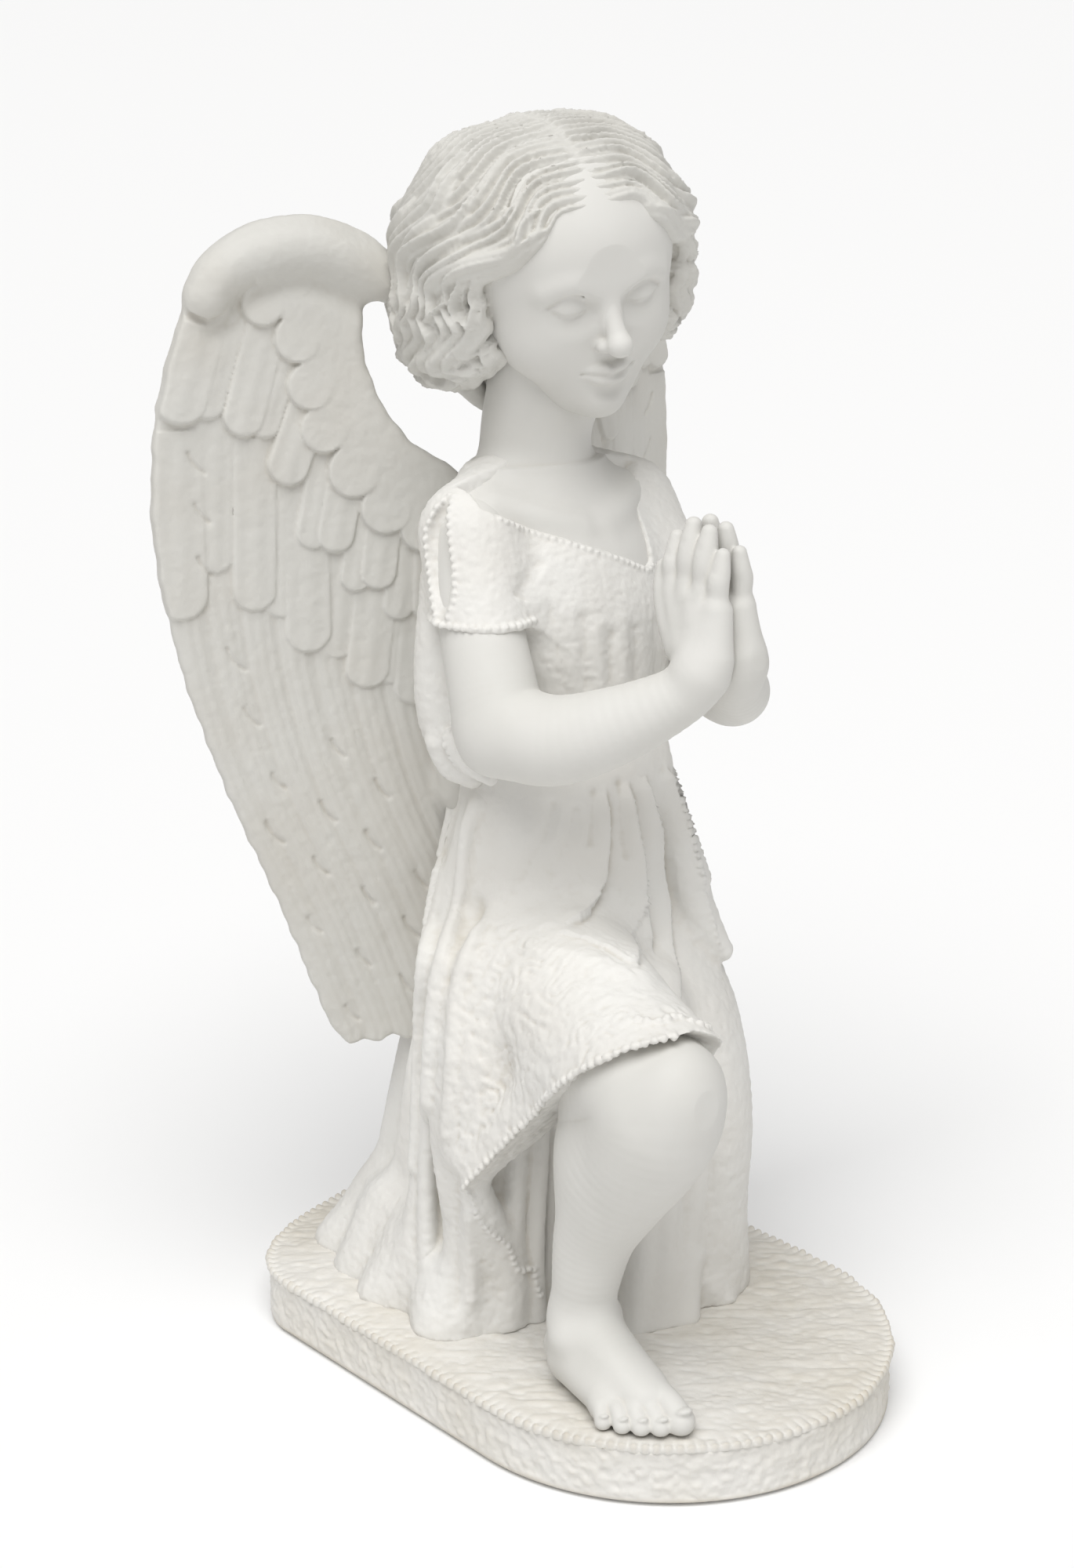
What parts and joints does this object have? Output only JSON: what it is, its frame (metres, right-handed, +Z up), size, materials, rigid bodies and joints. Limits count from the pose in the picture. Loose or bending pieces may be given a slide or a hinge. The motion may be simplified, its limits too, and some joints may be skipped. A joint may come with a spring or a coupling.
{
  "type": "angel_figurine",
  "caption": "Kneeling praying angel figurine in ivory cast resin, with raised wings, a draped dress and a long plinth with round ends",
  "frame": {"origin": "centre of the underside of the plinth", "axes": "+Z up; -Y is the way the figure looks; -X is the figure's right"},
  "size_m": [0.2164, 0.23, 0.4094],
  "materials": {
    "resin": "matte",
    "steel": "satin",
    "felt": "matte"
  },
  "bodies": {
    "root": {"plinth": "resin", "felt_pad": "felt", "skirt": "resin", "bodice": "resin", "head": "resin", "right_arm": "resin", "left_arm": "resin", "right_leg": "resin", "right_wing": "resin", "left_wing": "resin", "neck_dowel": "steel", "waist_dowels": "steel", "right_wing_dowels": "steel", "left_wing_dowels": "steel", "right_shoulder_dowel": "steel", "left_shoulder_dowel": "steel", "knee_dowel": "steel", "foot_dowel": "steel", "palm_pin": "steel", "plinth_screws": "steel", "screw_washers": "steel"}
  },
  "joints": []
}
